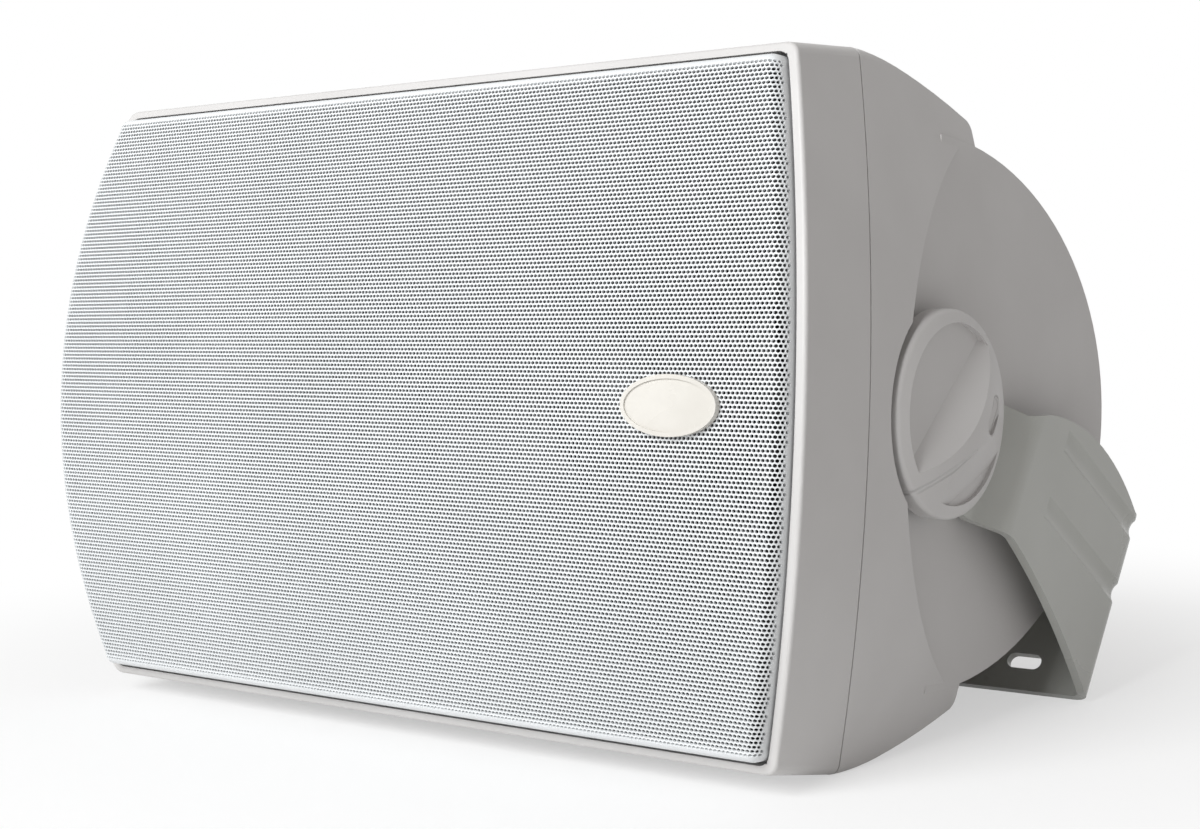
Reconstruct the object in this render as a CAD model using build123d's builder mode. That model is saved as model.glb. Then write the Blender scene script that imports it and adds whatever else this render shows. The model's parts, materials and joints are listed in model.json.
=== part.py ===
"""Outdoor patio speaker: two-way cabinet with a bowed grille on a swivelling wall bracket."""
from build123d import *
import math
import os

# Cabinet axes while modelling: X along the length, Y from front to back, Z up from mid-height.
# Cabinet shell
cabinet_length = 335.2
cabinet_height = 218.6
end_bulge = 17.9
front_bulge = 16.5
corner_radius = 5.0
bezel_rounding = 1.2
band_depth = 33.2
band_flare = 3.8
parting_gap = 0.6
gasket_setback = 1.0
wall = 4.0
collar_depth = 92.5
collar_rear_height = 186.0
collar_crown = 2.1
collar_rounding = 4.0
drum_centre = 71.0
drum_rear = 187.0
drum_height = 174.0
recess_depth = 10.6
recess_centre = 139.5
recess_radius = 102.0

# Grille and badge
bezel_end = 3.2
bezel_top = 2.6
grille_gap = 0.7
grille_top_gap = 1.3
grille_sheet = 1.0
grille_proud = 5.5
grille_roll = 3.8
grille_corner = 4.2
grille_margin = 4.6
grille_rows = 118
grille_row_pitch = 1.64
grille_slot = 0.8
badge_length = 34.5
badge_height = 18.0
badge_thickness = 2.0
badge_rim = 1.3
badge_rim_height = 0.6
badge_end = 42.1
badge_gap = 0.1

# Front board that carries the drivers
board_front = 8.0
board_thickness = 5.0
screw_end = 11.7
screw_edge = 15.3
screw_post_radius = 6.0
screw_root_radius = 11.0
screw_post_length = 33.0
screw_shank_radius = 2.0
screw_length = 24.0
screw_head_radius = 3.8
screw_head_height = 2.4

# Woofer, about an axis parallel to Y
woofer_x = 62.0
woofer_flange_radius = 83.0
woofer_flange_thickness = 3.0
woofer_gasket_thickness = 1.5
woofer_hole_radius = 74.0
woofer_screw_radius = 78.5
woofer_screw_count = 8
woofer_screw_turn = 22.5
small_head_radius = 3.1
woofer_edge_radius = 70.0
cone_radius = 60.0
cone_depth = 26.0
cone_thickness = 1.2
surround_thickness = 0.9
cone_lip = 3.0
cone_neck = 5.0
coil_overhang = 3.0
edge_lap = 4.0
basket_neck_radius = 43.0
basket_depth = 52.0
basket_sheet = 2.0
basket_window_count = 6
basket_window_angle = 34.0
basket_window_radius = 58.0
basket_window_width = 16.0
basket_window_start = 6.0
basket_flare = 5.0
spider_ledge_depth = 42.0
spider_ledge_width = 6.0
spider_thickness = 0.8
spider_wave = 1.6
spider_steps = 9
coil_radius = 12.9
coil_wall = 0.6
coil_gap = 0.6
pole_plate_radius = 40.0
top_plate_thickness = 6.0
magnet_radius = 45.0
magnet_bore = 22.0
magnet_thickness = 16.0
back_plate_thickness = 6.0
back_plate_chamfer = 4.0
dust_cap_radius = 23.0
dust_cap_rise = 9.0

# Horn and compression driver
horn_x = -85.0
horn_flange = 108.0
horn_flange_thickness = 3.0
horn_mouth = 92.0
horn_depth = 46.0
horn_throat_radius = 12.5
horn_wall = 2.5
horn_corner = 6.0
horn_screw_offset = 50.0
driver_radius = 31.0
driver_plate_thickness = 4.0
driver_magnet_radius = 29.0
driver_magnet_bore = 15.0
driver_magnet_thickness = 12.0
diaphragm_thickness = 0.6
diaphragm_rise = 3.5
diaphragm_rim = 1.0
throat_collar = 6.0
phase_plug_gap = 1.0
vent_radius = 0.5

# Reflex ports
port_z = 74.5
port_bore = 13.0
port_wall = 2.0
port_flange_radius = 18.0
port_flange_thickness = 2.0
port_length = 55.0

# Terminal cup and crossover on the rear of the drum
cup_length = 92.0
cup_height = 58.0
cup_flange = 8.0
cup_sheet = 3.0
cup_well = 18.0
cup_clearance = 0.5
cup_setback = 17.0
cup_gasket_thickness = 1.0
post_spacing = 38.0
post_stud_radius = 2.5
post_collar_radius = 5.5
post_collar_height = 2.0
post_cap_radius = 6.5
post_cap_height = 11.0
post_cap_gap = 0.4
post_thread_clearance = 0.05
post_tail = 3.0
post_tip_gap = 2.0
post_cap_crown = 1.5
post_cap_sides = 12
standoff_height = 9.0
standoff_radius = 3.0
standoff_span_x = 66.0
standoff_span_z = 26.0
crossover_length = 80.0
crossover_height = 46.0
crossover_sheet = 1.6
choke_radius = 13.0
choke_height = 14.0
choke_bore = 6.0
choke_x = 27.0
choke_z = 8.0
capacitor_radius = 7.5
capacitor_length = 24.0
capacitor_upper_z = 12.0
capacitor_lower_x = 18.0
capacitor_lower_z = -14.0
resistor_width = 22.0
resistor_side = 9.0
resistor_x = -20.0
resistor_z = -14.0
resistor_rounding = 1.0

# Swivel pivots, bracket and knobs
pivot_y = 64.0
boss_radius = 14.0
boss_length = 20.0
insert_radius = 8.0
insert_length = 22.0
stud_radius = 4.0
stud_clearance = 0.05
stud_end_gap = 3.0
washer_radius = 20.0
washer_thickness = 1.6
face_gap = 0.1
bracket_sheet = 3.0
bracket_hole_clearance = 0.4
bracket_reach = 131.5
bracket_plate_width = 70.0
bracket_tongue_width = 44.0
bracket_joggle = 8.0
bracket_joggle_start = 36.0
bracket_joggle_run = 11.0
bracket_joggle_radius = 5.0
bracket_bend_radius = 7.0
bracket_angle = 30.0
arm_neck = 43.5
arm_neck_upper = 25.4
arm_waist = 52.0
arm_waist_upper = 31.0
arm_waist_lower = 15.0
arm_crest = 89.0
arm_crest_upper = 41.0
arm_crest_lower = 22.5
bead_width = 8.0
bead_depth = 1.2
bead_centre = 17.0
bead_spacing = 25.0
bead_start = 66.0
bead_plate_run = 14.0
slot_length = 13.0
slot_width = 5.6
slot_row = 24.0
slot_x_outer = 142.0
slot_x_inner = 48.0
knob_radius = 32.3
knob_clearance = 3.0
knob_rim_height = 6.0
knob_dome_height = 6.5
knob_rounding = 2.2
knob_rim_width = 4.3
knob_bar_angle = 45.0
knob_scoop_edge = 6.0
knob_scoop_crest = 5.0
knob_scoop_sink = 0.5
knob_facet_angle = 25.0
knob_facet_crest = 12.5
knob_facet_edge = 24.0
knob_facet_step = 0.8
knob_facet_rise = 0.5
knob_pointer_length = 14.0
knob_pointer_width = 6.5
knob_pointer_depth = 1.2
knob_pointer_place = 18.0
knob_pointer_angle = 50.0

# Derived places shared by the pieces
half_height = cabinet_height / 2
front_half = half_height - band_flare
end_crown = cabinet_length / 2
end_radius = (half_height**2 + end_bulge**2) / (2 * end_bulge)
front_radius = (half_height**2 + front_bulge**2) / (2 * front_bulge)
drum_end = end_crown - recess_depth
screw_x = end_crown - end_bulge - screw_end
screw_z = half_height - screw_edge
badge_x = end_crown - badge_end
drum_half_height = drum_height / 2
board_back = board_front + board_thickness
through = 2 * end_crown
grille_end = bezel_end + grille_gap
grille_top = band_flare + bezel_top + grille_top_gap
cup_seat = drum_rear - cup_setback
washer_face = drum_end + washer_thickness
tongue_inner = washer_face + face_gap
tongue_outer = tongue_inner + bracket_sheet
knob_base = tongue_outer + face_gap
cup_floor = cup_seat - cup_well
sides = {"left": -1, "right": 1}
woofer_axis = Axis((woofer_x, 0, 0), (0, 1, 0))


def bow(z):
    """Depth of the bowed front behind its crown at height z."""
    return front_radius - math.sqrt(front_radius**2 - z**2)


def end_outline(end_inset, top_inset, radius):
    """Front view drawn in from the cabinet's own: straight long edges, bowed ends and rounded corners."""
    crown = end_crown - end_inset
    z = half_height - top_inset
    x = crown - end_radius + math.sqrt(end_radius**2 - z**2)
    with BuildLine() as edge:
        Line((-x, -z), (x, -z))
        ThreePointArc((x, -z), (crown, 0), (x, z))
        Line((x, z), (-x, z))
        ThreePointArc((-x, z), (-crown, 0), (-x, -z))
    make_face(edge.edges())
    if radius:
        fillet(vertices(), radius)


def band_profile():
    """Side view of the front band: bowed front and back, long edges that flare to the parting line."""
    crown = -front_bulge
    front = crown + bow(front_half)
    with BuildLine() as edge:
        ThreePointArc((front, front_half), (crown, 0), (front, -front_half))
        Line((front, -front_half), (band_depth, -half_height))
        ThreePointArc((band_depth, -half_height), (crown + band_depth, 0), (band_depth, half_height))
        Line((band_depth, half_height), (front, front_half))
    make_face(edge.edges())


def front_layer(near, far):
    """Side view of a layer parallel to the bowed front, from one depth to another."""
    z = half_height + wall
    near_crown = near - front_bulge
    far_crown = far - front_bulge
    with BuildLine() as edge:
        ThreePointArc((near_crown + bow(z), z), (near_crown, 0), (near_crown + bow(z), -z))
        Line((near_crown + bow(z), -z), (far_crown + bow(z), -z))
        ThreePointArc((far_crown + bow(z), -z), (far_crown, 0), (far_crown + bow(z), z))
        Line((far_crown + bow(z), z), (near_crown + bow(z), z))
    make_face(edge.edges())


def collar_profile(front, inset):
    """Side view of the collar behind the parting line, narrowing towards the drum."""
    top = half_height - inset
    rear = collar_rear_height / 2 - inset
    deep = collar_depth - inset
    middle = ((front + deep) / 2, (top + rear) / 2 + collar_crown)
    crown = front - front_bulge
    with BuildLine() as edge:
        ThreePointArc((front, -top), (crown, 0), (front, top))
        ThreePointArc((front, top), middle, (deep, rear))
        Line((deep, rear), (deep, -rear))
        ThreePointArc((deep, -rear), (middle[0], -middle[1]), (front, -top))
    make_face(edge.edges())
    fillet(vertices().group_by(Axis.X)[-1], collar_rounding)


def drum_profile(inset):
    """Side view of the rear drum, half an ellipse."""
    deep = drum_rear - drum_centre - inset
    with Locations((drum_centre, 0)):
        Ellipse(deep, drum_half_height - inset)
        Rectangle(deep, drum_height, align=(Align.MIN, Align.CENTER), mode=Mode.INTERSECT)


def cabinet_form(front, inset):
    """Cabinet body behind the parting line, drawn in from the outer skin by an inset."""
    with BuildPart() as form:
        with BuildSketch(Plane.XZ):
            end_outline(inset, inset, corner_radius)
        extrude(amount=through, both=True)
        with BuildSketch(Plane.YZ):
            collar_profile(front, inset)
        extrude(amount=through, both=True, mode=Mode.INTERSECT)
        for side in sides.values():
            with BuildSketch(Plane.YZ.offset(side * (drum_end - inset))):
                with Locations((recess_centre, 0)):
                    Circle(recess_radius + inset)
                with Locations((pivot_y, 0)):
                    Circle(knob_radius + knob_clearance + inset)
            extrude(amount=side * recess_depth * 2, mode=Mode.SUBTRACT)
        with BuildSketch(Plane.YZ):
            drum_profile(inset)
        extrude(amount=drum_end - inset, both=True)
    return form.part


def cap_radius(rim_radius, rise):
    """Radius of the sphere that a shallow domed cap is cut from."""
    return (rim_radius**2 + rise**2) / (2 * rise)


def cap_rise(radius, rim_radius, rise):
    """Height of a domed cap above its rim at a radius from the middle."""
    sphere = cap_radius(rim_radius, rise)
    return math.sqrt(sphere**2 - radius**2) - (sphere - rise)


def y_plane(y):
    """Plane across the depth at y whose normal points to the front."""
    return Plane.XZ.offset(-y)


def ring(plane_y, outer, inner, thickness, x=0.0, z=0.0):
    """Flat ring about an axis parallel to Y, from plane_y towards the back."""
    with BuildSketch(y_plane(plane_y)) as flat:
        with Locations((x, z)):
            Circle(outer)
            Circle(inner, mode=Mode.SUBTRACT)
    extrude(flat.sketch, amount=-thickness)


# Front baffle: moulded frame band, driver board and grille pocket
with BuildPart() as front_baffle:
    with BuildSketch(Plane.XZ):
        end_outline(0, 0, 0)
    extrude(amount=through, both=True)
    with BuildSketch(Plane.YZ):
        band_profile()
    extrude(amount=through, both=True, mode=Mode.INTERSECT)
    long_edges = front_baffle.edges().filter_by(lambda edge: abs(edge.center().Z) > front_half - wall)
    fillet(long_edges.filter_by(lambda edge: abs(edge.center().X) > end_crown / 2), corner_radius)
    fillet(front_baffle.faces().sort_by(Axis.Y)[0].edges(), bezel_rounding)
    with BuildSketch(y_plane(board_front)):
        end_outline(bezel_end, band_flare + bezel_top, grille_corner + grille_gap)
    extrude(amount=through, mode=Mode.SUBTRACT)
    with BuildSketch(y_plane(board_back)):
        end_outline(wall, wall + band_flare, corner_radius)
    extrude(amount=-through, mode=Mode.SUBTRACT)
    with BuildSketch(y_plane(board_front)):
        with Locations((woofer_x, 0)):
            Circle(woofer_hole_radius)
        with Locations((horn_x, 0)):
            RectangleRounded(horn_mouth + 2 * horn_wall, horn_mouth + 2 * horn_wall, horn_corner)
        with Locations((horn_x, port_z), (horn_x, -port_z)):
            Circle(port_bore + port_wall)
        with GridLocations(screw_x, 2 * screw_z, 3, 2):
            Circle(screw_shank_radius)
        with Locations((woofer_x, 0)):
            with PolarLocations(woofer_screw_radius, woofer_screw_count, start_angle=woofer_screw_turn):
                Circle(screw_shank_radius)
        with Locations((horn_x, 0)):
            with GridLocations(2 * horn_screw_offset, 2 * horn_screw_offset, 2, 2):
                Circle(screw_shank_radius)
    extrude(amount=-board_thickness, mode=Mode.SUBTRACT)

# Rear cabinet: hollow shell with collar, drum, screw posts, pivot bosses and terminal opening
cabinet_front = band_depth + parting_gap
cavity = cabinet_form(cabinet_front - 2 * wall, wall)
with BuildPart() as cup_frame:
    with BuildSketch(y_plane(cup_seat - wall)):
        RectangleRounded(cup_length + 2 * wall, cup_height + 2 * wall, corner_radius)
    extrude(amount=-cup_setback - wall)
    with BuildSketch(Plane.YZ):
        drum_profile(0)
    extrude(amount=through, both=True, mode=Mode.INTERSECT)
with BuildPart() as rear_cabinet:
    add(cabinet_form(cabinet_front, 0))
    add(cavity, mode=Mode.SUBTRACT)
    with BuildSketch(y_plane(board_back)):
        with GridLocations(screw_x, 2 * screw_z, 3, 2):
            Circle(screw_post_radius)
    extrude(amount=-screw_post_length)
    with BuildSketch(y_plane(cabinet_front + wall)):
        with GridLocations(screw_x, 2 * screw_z, 3, 2):
            Circle(screw_root_radius)
    extrude(amount=-screw_post_length + cabinet_front + wall - board_back)
    with BuildSketch(y_plane(board_back)):
        with GridLocations(screw_x, 2 * screw_z, 3, 2):
            Circle(screw_shank_radius)
    extrude(amount=-screw_length, mode=Mode.SUBTRACT)
    for side in sides.values():
        with BuildSketch(Plane.YZ.offset(side * (drum_end - boss_length))):
            with Locations((pivot_y, 0)):
                Circle(boss_radius)
        extrude(amount=side * (boss_length - wall / 2))
        with BuildSketch(Plane.YZ.offset(side * (drum_end + wall))):
            with Locations((pivot_y, 0)):
                Circle(insert_radius)
        extrude(amount=-side * (boss_length + 2 * wall), mode=Mode.SUBTRACT)
    add(cup_frame.part)
    with BuildSketch(y_plane(cup_seat)):
        RectangleRounded(cup_length + 2 * cup_clearance, cup_height + 2 * cup_clearance, corner_radius)
    extrude(amount=-through, mode=Mode.SUBTRACT)
    with BuildSketch(y_plane(cup_seat)):
        Rectangle(cup_length - 2 * cup_flange, cup_height - 2 * cup_flange)
    extrude(amount=3 * wall, mode=Mode.SUBTRACT)

# Gasket in the parting line, set back from the skin so that a fine groove shows
with BuildPart() as cabinet_gasket:
    with BuildSketch(Plane.XZ):
        end_outline(gasket_setback, gasket_setback, corner_radius)
        with BuildSketch(mode=Mode.PRIVATE) as bore:
            end_outline(wall, wall, corner_radius)
        add(bore.sketch, mode=Mode.SUBTRACT)
    extrude(amount=through, both=True)
    with BuildSketch(Plane.YZ):
        front_layer(band_depth, band_depth + parting_gap)
    extrude(amount=through, both=True, mode=Mode.INTERSECT)

# Screws that pull the baffle onto the rear cabinet
with BuildPart() as cabinet_screws:
    with BuildSketch(y_plane(board_front)):
        with GridLocations(screw_x, 2 * screw_z, 3, 2):
            Circle(screw_head_radius)
    extrude(amount=screw_head_height)
    with BuildSketch(y_plane(board_front)):
        with GridLocations(screw_x, 2 * screw_z, 3, 2):
            Circle(screw_shank_radius)
    extrude(amount=-screw_length)



def grille_form(inset):
    """Bowed block with rolled edges, drawn in from the outer face of the grille."""
    with BuildPart() as form:
        with BuildSketch(Plane.XZ):
            end_outline(grille_end + inset, grille_top + inset, grille_corner - inset)
        extrude(amount=through, both=True)
        with BuildSketch(Plane.YZ):
            front_layer(inset - grille_proud, through)
        extrude(amount=through, both=True, mode=Mode.INTERSECT)
        fillet(form.faces().sort_by(Axis.Y)[0].edges(), grille_roll - inset)
    return form.part


# Grille: bowed perforated sheet with edges rolled back to the board
grille_block = grille_form(0)
grille_hollow = grille_form(grille_sheet)
with BuildPart() as grille:
    add(grille_block)
    add(grille_hollow, mode=Mode.SUBTRACT)
    with BuildSketch(y_plane(board_front)):
        Rectangle(through * 2, through * 2)
    extrude(amount=-through * 2, mode=Mode.SUBTRACT)
    with BuildSketch(y_plane(board_front)):
        with GridLocations(0, grille_row_pitch, 1, grille_rows):
            Rectangle(through, grille_slot)
        with BuildSketch(mode=Mode.PRIVATE) as field:
            end_outline(grille_end + grille_margin, grille_top + grille_margin, 0)
        add(field.sketch, mode=Mode.INTERSECT)
    extrude(amount=through, mode=Mode.SUBTRACT)

# Badge: plain oval plate with a raised rim
badge_back = -front_bulge - grille_proud - badge_gap
with BuildPart() as badge:
    with BuildSketch(y_plane(badge_back)):
        with Locations((badge_x, 0)):
            Ellipse(badge_length / 2, badge_height / 2)
    extrude(amount=badge_thickness)
    with BuildSketch(y_plane(badge_back - badge_thickness)):
        with Locations((badge_x, 0)):
            Ellipse(badge_length / 2 - badge_rim, badge_height / 2 - badge_rim)
    extrude(amount=-badge_rim_height, mode=Mode.SUBTRACT)


def woofer_turned(points):
    """Solid of revolution about the woofer axis from radius and depth pairs."""
    with BuildSketch(Plane.XY) as half:
        with BuildLine() as edge:
            Polyline(*[(woofer_x + radius, depth) for radius, depth in points], close=True)
        make_face(edge.edges())
    revolve(half.sketch, axis=woofer_axis)


def domed_cap(x, rim, radius, rise, thickness):
    """Thin domed cap about an axis parallel to Y, bulging to the front from its rim."""
    sphere = cap_radius(radius, rise)
    centre = rim + sphere - rise
    with Locations((x, centre, 0)):
        Sphere(sphere)
        Sphere(sphere - thickness, mode=Mode.SUBTRACT)
    with BuildSketch(y_plane(rim)) as behind:
        Rectangle(through * 2, through * 2)
    extrude(behind.sketch, amount=-through * 2, mode=Mode.SUBTRACT)


flange_back = board_front
flange_front = flange_back - woofer_flange_thickness
neck_depth = flange_back + basket_depth
spider_depth = flange_back + spider_ledge_depth
ledge_radius = basket_neck_radius - spider_ledge_width
coil_outer = coil_radius + coil_wall
plate_back = neck_depth + basket_sheet + top_plate_thickness
magnet_back = plate_back + magnet_thickness
edge_inner = woofer_edge_radius - edge_lap
edge_outer = woofer_screw_radius - edge_lap

# Woofer basket: flange, conical spokes, spider ledge and neck
with BuildPart() as woofer_basket:
    woofer_turned([(edge_inner, flange_front), (woofer_flange_radius, flange_front),
                   (woofer_flange_radius, flange_back), (woofer_hole_radius - basket_sheet, flange_back),
                   (basket_neck_radius + 2 * basket_sheet, spider_depth),
                   (basket_neck_radius + basket_sheet, neck_depth + basket_sheet),
                   (coil_outer + edge_lap, neck_depth + basket_sheet), (coil_outer + edge_lap, neck_depth),
                   (basket_neck_radius, neck_depth), (basket_neck_radius, spider_depth + basket_sheet),
                   (ledge_radius, spider_depth + basket_sheet), (ledge_radius, spider_depth),
                   (basket_neck_radius + basket_sheet, spider_depth),
                   (woofer_hole_radius - basket_flare, flange_back),
                   (edge_inner, flange_back - basket_sheet / 2)])
    with BuildSketch(y_plane(flange_back + basket_window_start)):
        with Locations((woofer_x, 0)):
            with PolarLocations(0, basket_window_count):
                SlotArc(CenterArc((0, 0), basket_window_radius, 0, basket_window_angle), basket_window_width)
    extrude(amount=-basket_depth, mode=Mode.SUBTRACT)
    with BuildSketch(y_plane(flange_back)):
        with Locations((woofer_x, 0)):
            with PolarLocations(woofer_screw_radius, woofer_screw_count, start_angle=woofer_screw_turn):
                Circle(screw_shank_radius)
    extrude(amount=woofer_flange_thickness, mode=Mode.SUBTRACT)

# Trim ring that covers the glued edge of the surround
with BuildPart() as woofer_gasket:
    ring(flange_front - surround_thickness - woofer_gasket_thickness, edge_outer,
         edge_inner + surround_thickness, woofer_gasket_thickness, woofer_x)

with BuildPart() as woofer_screws:
    with BuildSketch(y_plane(flange_front)):
        with Locations((woofer_x, 0)):
            with PolarLocations(woofer_screw_radius, woofer_screw_count, start_angle=woofer_screw_turn):
                Circle(small_head_radius)
    extrude(amount=screw_head_height)
    with BuildSketch(y_plane(flange_front)):
        with Locations((woofer_x, 0)):
            with PolarLocations(woofer_screw_radius, woofer_screw_count, start_angle=woofer_screw_turn):
                Circle(screw_shank_radius)
    extrude(amount=-woofer_flange_thickness - board_thickness)

# Half-roll surround between the cone and the basket
roll_radius = (edge_inner - cone_radius) / 2
roll_centre = woofer_x + cone_radius + roll_radius
roll_face = flange_front - surround_thickness
roll_bore = roll_radius - surround_thickness
cone_glue = woofer_x + cone_radius - cone_lip
with BuildPart() as woofer_surround:
    with BuildSketch(Plane.XY):
        with BuildLine():
            Polyline((roll_centre + roll_bore, flange_front), (woofer_x + edge_outer, flange_front),
                     (woofer_x + edge_outer, roll_face), (roll_centre + roll_radius, roll_face))
            ThreePointArc((roll_centre + roll_radius, roll_face), (roll_centre, roll_face - roll_radius),
                          (roll_centre - roll_radius, roll_face))
            Polyline((roll_centre - roll_radius, roll_face), (cone_glue, roll_face),
                     (cone_glue, flange_front), (roll_centre - roll_bore, flange_front))
            ThreePointArc((roll_centre - roll_bore, flange_front), (roll_centre, flange_front - roll_radius),
                          (roll_centre + roll_bore, flange_front))
        make_face()
    revolve(axis=woofer_axis)

# Cone with a rolled edge lip under the surround and a neck on the voice coil
cone_front = flange_front
cone_back = cone_front + cone_depth
with BuildPart() as woofer_cone:
    woofer_turned([(cone_radius, cone_front), (cone_radius, cone_front + cone_thickness),
                   (cone_radius - cone_lip + cone_thickness, cone_front + cone_thickness),
                   (coil_outer + cone_thickness, cone_back),
                   (coil_outer + cone_thickness, cone_back + cone_neck),
                   (coil_outer, cone_back + cone_neck), (coil_outer, cone_back - cone_thickness),
                   (cone_radius - cone_lip, cone_front)])

# Domed dust cap glued to the cone
cap_slope = (cone_depth - cone_thickness) / (cone_radius - cone_lip - coil_outer)
cap_rim = cone_back - cone_thickness - (dust_cap_radius - coil_outer) * cap_slope
with BuildPart() as woofer_dust_cap:
    domed_cap(woofer_x, cap_rim, dust_cap_radius, dust_cap_rise, cone_thickness)

# Voice coil former, hung in the magnet gap
coil_back = plate_back + coil_overhang
with BuildPart() as woofer_voice_coil:
    ring(cone_back - cone_thickness, coil_outer, coil_radius,
         coil_back - cone_back + cone_thickness, woofer_x)

# Corrugated spider between the coil and the basket ledge
with BuildPart() as woofer_spider:
    spider_top = []
    for step in range(spider_steps + 1):
        radius = coil_outer + (ledge_radius + spider_ledge_width / 2 - coil_outer) * step / spider_steps
        lift = spider_wave if step % 2 and step < spider_steps - 1 else 0.0
        spider_top.append((radius, spider_depth - spider_thickness - lift))
    spider_under = [(radius, depth + spider_thickness) for radius, depth in reversed(spider_top)]
    woofer_turned(spider_top + spider_under)

with BuildPart() as woofer_top_plate:
    ring(neck_depth + basket_sheet, pole_plate_radius, coil_outer + coil_gap, top_plate_thickness, woofer_x)

with BuildPart() as woofer_magnet:
    ring(plate_back, magnet_radius, magnet_bore, magnet_thickness, woofer_x)

with BuildPart() as woofer_back_plate:
    woofer_turned([(0, neck_depth + basket_sheet), (coil_radius - coil_gap, neck_depth + basket_sheet),
                   (coil_radius - coil_gap, magnet_back), (pole_plate_radius, magnet_back),
                   (pole_plate_radius, magnet_back + back_plate_thickness / 2),
                   (pole_plate_radius - back_plate_chamfer, magnet_back + back_plate_thickness),
                   (0, magnet_back + back_plate_thickness)])

# Square horn: flange on the board and a throat that narrows to the driver
horn_front = board_front - horn_flange_thickness
horn_back = board_front + horn_depth


def horn_space(grow):
    """Flaring passage of the horn, widened by a wall."""
    with BuildSketch(y_plane(horn_front)) as mouth:
        with Locations((horn_x, 0)):
            RectangleRounded(horn_mouth + 2 * grow, horn_mouth + 2 * grow, horn_corner)
    with BuildSketch(y_plane(horn_front + horn_depth / 3)) as middle:
        with Locations((horn_x, 0)):
            RectangleRounded(horn_mouth / 2 + 2 * grow, horn_mouth / 2 + 2 * grow, horn_corner)
    with BuildSketch(y_plane(horn_back)) as throat:
        with Locations((horn_x, 0)):
            side = 2 * (horn_throat_radius + grow)
            RectangleRounded(side, side, horn_throat_radius + grow - vent_radius)
    with BuildPart() as flare:
        loft([mouth.sketch.face(), middle.sketch.face()], ruled=True)
        loft([middle.sketch.face(), throat.sketch.face()], ruled=True)
    return flare.part


horn_outside = horn_space(horn_wall)
horn_inside = horn_space(0)
with BuildPart() as horn:
    add(horn_outside)
    with BuildSketch(y_plane(board_front)):
        with Locations((horn_x, 0)):
            RectangleRounded(horn_flange, horn_flange, horn_corner)
    extrude(amount=horn_flange_thickness)
    ring(horn_back - driver_plate_thickness, driver_radius - throat_collar, horn_throat_radius,
         driver_plate_thickness, horn_x)
    add(horn_inside, mode=Mode.SUBTRACT)
    with BuildSketch(y_plane(board_front)):
        with Locations((horn_x, 0)):
            with GridLocations(2 * horn_screw_offset, 2 * horn_screw_offset, 2, 2):
                Circle(screw_shank_radius)
    extrude(amount=horn_flange_thickness, mode=Mode.SUBTRACT)

with BuildPart() as horn_screws:
    with BuildSketch(y_plane(horn_front)):
        with Locations((horn_x, 0)):
            with GridLocations(2 * horn_screw_offset, 2 * horn_screw_offset, 2, 2):
                Circle(small_head_radius)
    extrude(amount=screw_head_height)
    with BuildSketch(y_plane(horn_front)):
        with Locations((horn_x, 0)):
            with GridLocations(2 * horn_screw_offset, 2 * horn_screw_offset, 2, 2):
                Circle(screw_shank_radius)
    extrude(amount=-horn_flange_thickness - board_thickness)

# Compression driver on the horn throat
driver_front = horn_back
driver_plate_back = driver_front + driver_plate_thickness
driver_magnet_back = driver_plate_back + driver_magnet_thickness
with BuildPart() as tweeter_plate:
    ring(driver_front, driver_radius, horn_throat_radius + diaphragm_rim, driver_plate_thickness, horn_x)

with BuildPart() as tweeter_magnet:
    ring(driver_plate_back, driver_magnet_radius, driver_magnet_bore, driver_magnet_thickness, horn_x)

with BuildPart() as tweeter_diaphragm:
    domed_cap(horn_x, driver_plate_back, horn_throat_radius, diaphragm_rise, diaphragm_thickness)
    ring(driver_plate_back - diaphragm_thickness, horn_throat_radius + diaphragm_rim,
         horn_throat_radius - 2 * diaphragm_thickness, diaphragm_thickness, horn_x)

with BuildPart() as tweeter_back_plate:
    ring(driver_magnet_back, driver_magnet_radius, vent_radius, driver_plate_thickness, horn_x)
    with BuildSketch(y_plane(driver_magnet_back + driver_plate_thickness)):
        with Locations((horn_x, 0)):
            Circle(horn_throat_radius - diaphragm_rim)
    extrude(amount=driver_plate_thickness + driver_magnet_thickness - phase_plug_gap)

# Reflex port tubes above and below the horn
port_tubes = {}
for place, side in {"upper": 1, "lower": -1}.items():
    with BuildPart() as port_tube:
        ring(board_front, port_bore + port_wall, port_bore, port_length, horn_x, side * port_z)
        ring(board_front - port_flange_thickness, port_flange_radius, port_bore, port_flange_thickness,
             horn_x, side * port_z)
    port_tubes[f"port_tube_{place}"] = port_tube

# Terminal cup sunk into the drum, on a foam gasket
cup_flange_front = cup_seat + cup_gasket_thickness
well_length = cup_length - 2 * cup_flange - 2 * cup_clearance
well_height = cup_height - 2 * cup_flange - 2 * cup_clearance
with BuildPart() as terminal_gasket:
    with BuildSketch(y_plane(cup_seat)):
        RectangleRounded(cup_length, cup_height, corner_radius)
        Rectangle(cup_length - 2 * cup_flange, cup_height - 2 * cup_flange, mode=Mode.SUBTRACT)
        with GridLocations(cup_length - cup_flange, cup_height - cup_flange, 2, 2):
            Circle(screw_shank_radius, mode=Mode.SUBTRACT)
    extrude(amount=-cup_gasket_thickness)

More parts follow.
